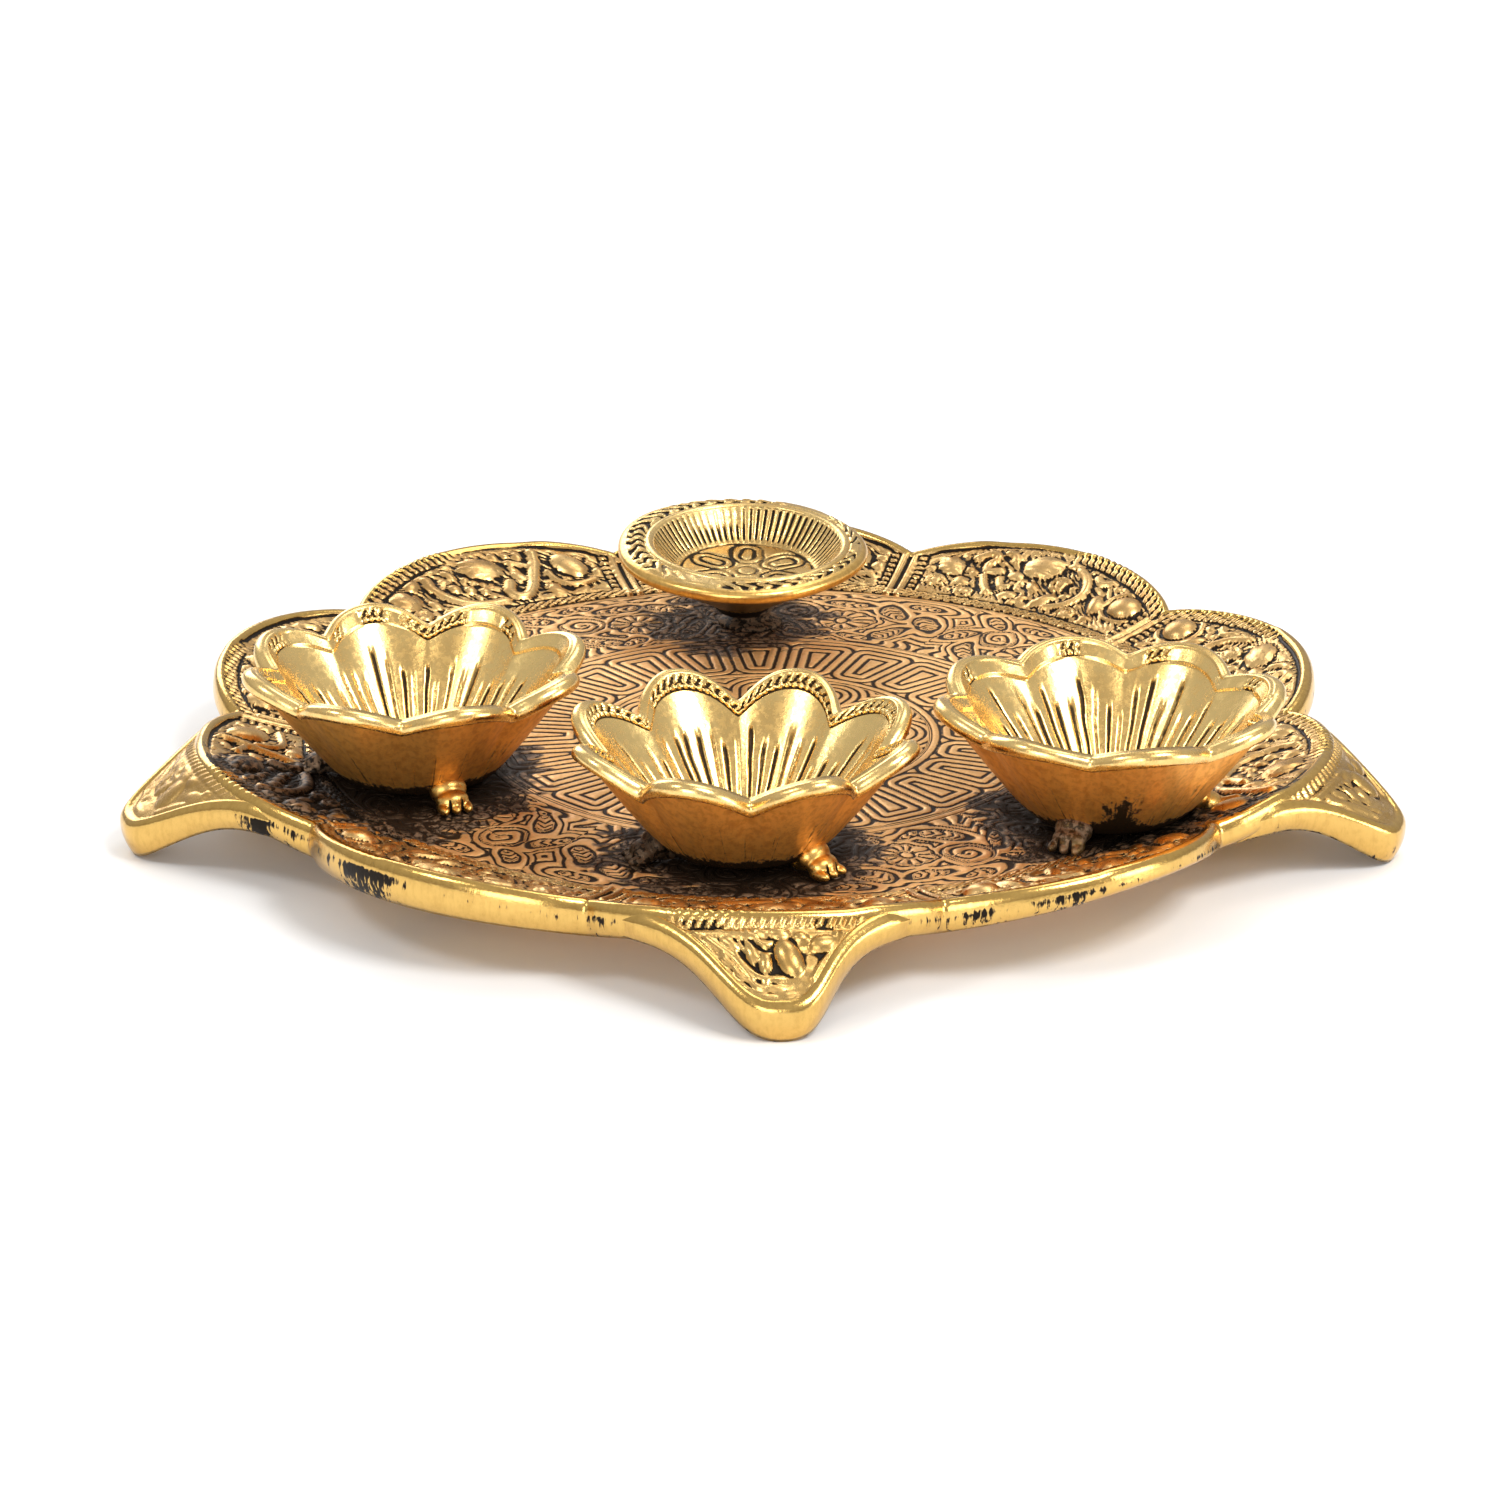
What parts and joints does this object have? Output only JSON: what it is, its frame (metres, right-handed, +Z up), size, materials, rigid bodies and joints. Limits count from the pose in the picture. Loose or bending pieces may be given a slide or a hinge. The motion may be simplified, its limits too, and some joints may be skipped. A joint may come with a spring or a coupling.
{
  "type": "puja thali",
  "caption": "Lobed cast offering plate on turned-down leaf feet, carrying petal bowls on claw legs and a round lamp dish on a pedestal, in antiqued gold.",
  "frame": {"origin": "centre of the footprint at table level, midway between the front leaf's tip and the back lobe", "axes": "+X to the right as the plate is offered, +Y away from the front leaf foot, +Z up"},
  "size_m": [0.219, 0.216, 0.0324],
  "materials": {
    "plate_gold": "gold electroplate on a cast relief, recesses left black, high spots buffed to satin",
    "leaf_gold": "gold electroplate, buffed bright on the border and tip",
    "bowl_gold": "bright gold electroplate, dark flutes inside, amber and lightly grained outside",
    "leg_gold": "gold electroplate with black left between the toes",
    "dish_gold": "gold electroplate, engraved rim and fluted wall with black recesses",
    "pedestal_black": "black antique finish that the buff did not reach"
  },
  "bodies": {
    "root": {"plate": "plate_gold", "leaf_foot_front": "leaf_gold", "leaf_foot_left": "leaf_gold", "leaf_foot_right": "leaf_gold", "leaf_foot_back_left": "leaf_gold", "leaf_foot_back_right": "leaf_gold", "left_bowl": "bowl_gold", "left_bowl_front_leg": "leg_gold", "left_bowl_right_leg": "leg_gold", "left_bowl_left_leg": "leg_gold", "front_bowl": "bowl_gold", "front_bowl_right_leg": "leg_gold", "front_bowl_rear_leg": "leg_gold", "front_bowl_left_leg": "leg_gold", "right_bowl": "bowl_gold", "right_bowl_front_leg": "leg_gold", "right_bowl_right_leg": "leg_gold", "right_bowl_rear_leg": "leg_gold", "lamp_dish": "dish_gold", "lamp_dish_pedestal": "pedestal_black"}
  },
  "joints": []
}
